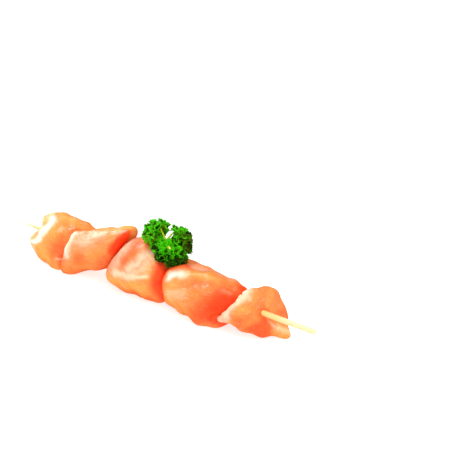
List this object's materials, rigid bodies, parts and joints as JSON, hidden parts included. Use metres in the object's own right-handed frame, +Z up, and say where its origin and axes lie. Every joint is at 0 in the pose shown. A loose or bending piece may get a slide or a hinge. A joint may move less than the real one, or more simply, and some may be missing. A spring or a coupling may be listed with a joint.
{
  "type": "chicken kebab skewer",
  "caption": "Raw chicken breast chunks pushed close together on a pointed bamboo stick, lying flat, with a sprig of curly parsley resting on top.",
  "frame": {"origin": "on the table under the middle of the stick, on the flat underside of the middle chunk", "axes": "+X along the stick towards its blunt end, +Z up"},
  "size_m": [0.2, 0.0296, 0.0406],
  "materials": {
    "raw_chicken": "wet, translucent raw breast meat",
    "bamboo": "smooth pale bamboo with fine lengthwise grain",
    "parsley_leaf": "fresh curly leaf, slightly waxy"
  },
  "bodies": {
    "root": {"chunk_1": "raw_chicken", "chunk_2": "raw_chicken", "chunk_3": "raw_chicken", "chunk_4": "raw_chicken", "chunk_5": "raw_chicken", "stick": "bamboo", "parsley": "parsley_leaf"}
  },
  "joints": []
}
